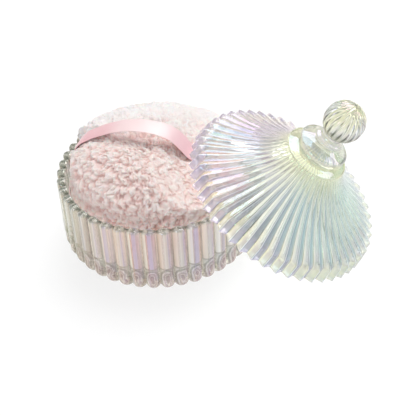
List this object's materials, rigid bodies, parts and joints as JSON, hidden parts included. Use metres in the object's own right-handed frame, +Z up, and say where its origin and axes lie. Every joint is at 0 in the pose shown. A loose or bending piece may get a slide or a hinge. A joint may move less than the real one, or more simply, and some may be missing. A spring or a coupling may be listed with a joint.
{
  "type": "powder jar",
  "caption": "Fluted pressed-glass powder jar holding a plush puff with a ribbon handle, its pleated glass lid with a ball finial leaning against it.",
  "frame": {"origin": "centre of the jar's foot ring, on the face that stands on the table", "axes": "+Z up along the jar's axis, +X from the jar towards the side on which the lid leans"},
  "size_m": [0.1707, 0.1211, 0.0928],
  "materials": {
    "jar_glass": "clear pressed glass with a rainbow lustre coating",
    "lid_glass": "clear pressed glass with a rainbow lustre coating",
    "finial_glass": "clear cut glass with a rainbow lustre coating",
    "plush": "curly sherpa fleece",
    "wadding": "loose polyester wadding",
    "thread": "overlocked sewing thread",
    "satin": "satin ribbon"
  },
  "bodies": {
    "jar": {"bowl": "jar_glass"},
    "lid": {"lid": "lid_glass", "finial": "finial_glass"},
    "puff": {"puff_top_cover": "plush", "puff_base_cover": "plush", "puff_filling": "wadding", "puff_seam": "thread", "ribbon_handle": "satin"}
  },
  "joints": [
    {"name": "lid_lift", "type": "slide", "parent": "jar", "child": "lid", "axis": [0.4988, -0.1188, 0.8585], "range_m": [0, 0.11]},
    {"name": "puff_lift", "type": "slide", "parent": "jar", "child": "puff", "axis": [0, 0, 1], "range_m": [0, 0.0495]}
  ],
  "couplings": [
    {"joint": "puff_lift", "follows": "lid_lift", "ratio": 0.45}
  ]
}
